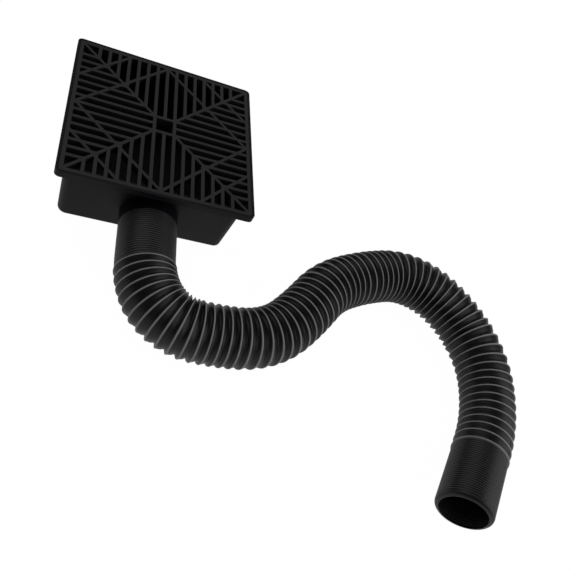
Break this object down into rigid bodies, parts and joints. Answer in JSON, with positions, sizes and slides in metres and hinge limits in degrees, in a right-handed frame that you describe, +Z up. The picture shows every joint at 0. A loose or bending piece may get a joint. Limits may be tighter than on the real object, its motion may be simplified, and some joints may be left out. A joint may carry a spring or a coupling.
{
  "type": "catch basin downspout extension",
  "caption": "Square drain catch basin with a lift-out slatted grate and a long flexible bellows pipe that carries roof water away along the ground.",
  "frame": {"origin": "on the floor, at the middle of the underside of the catch basin", "axes": "+Z up, square to the basin's floor; the pipe leaves the basin towards -Y, and X runs along the outlet wall"},
  "size_m": [0.8151, 0.7428, 0.12],
  "materials": {
    "grate_plastic": "matte moulded black with a fine grain",
    "basin_plastic": "satin moulded black",
    "pipe_plastic": "half gloss blown black"
  },
  "bodies": {
    "root": {"grate": "grate_plastic", "catch_basin": "basin_plastic", "flexible_pipe": "pipe_plastic"}
  },
  "joints": []
}
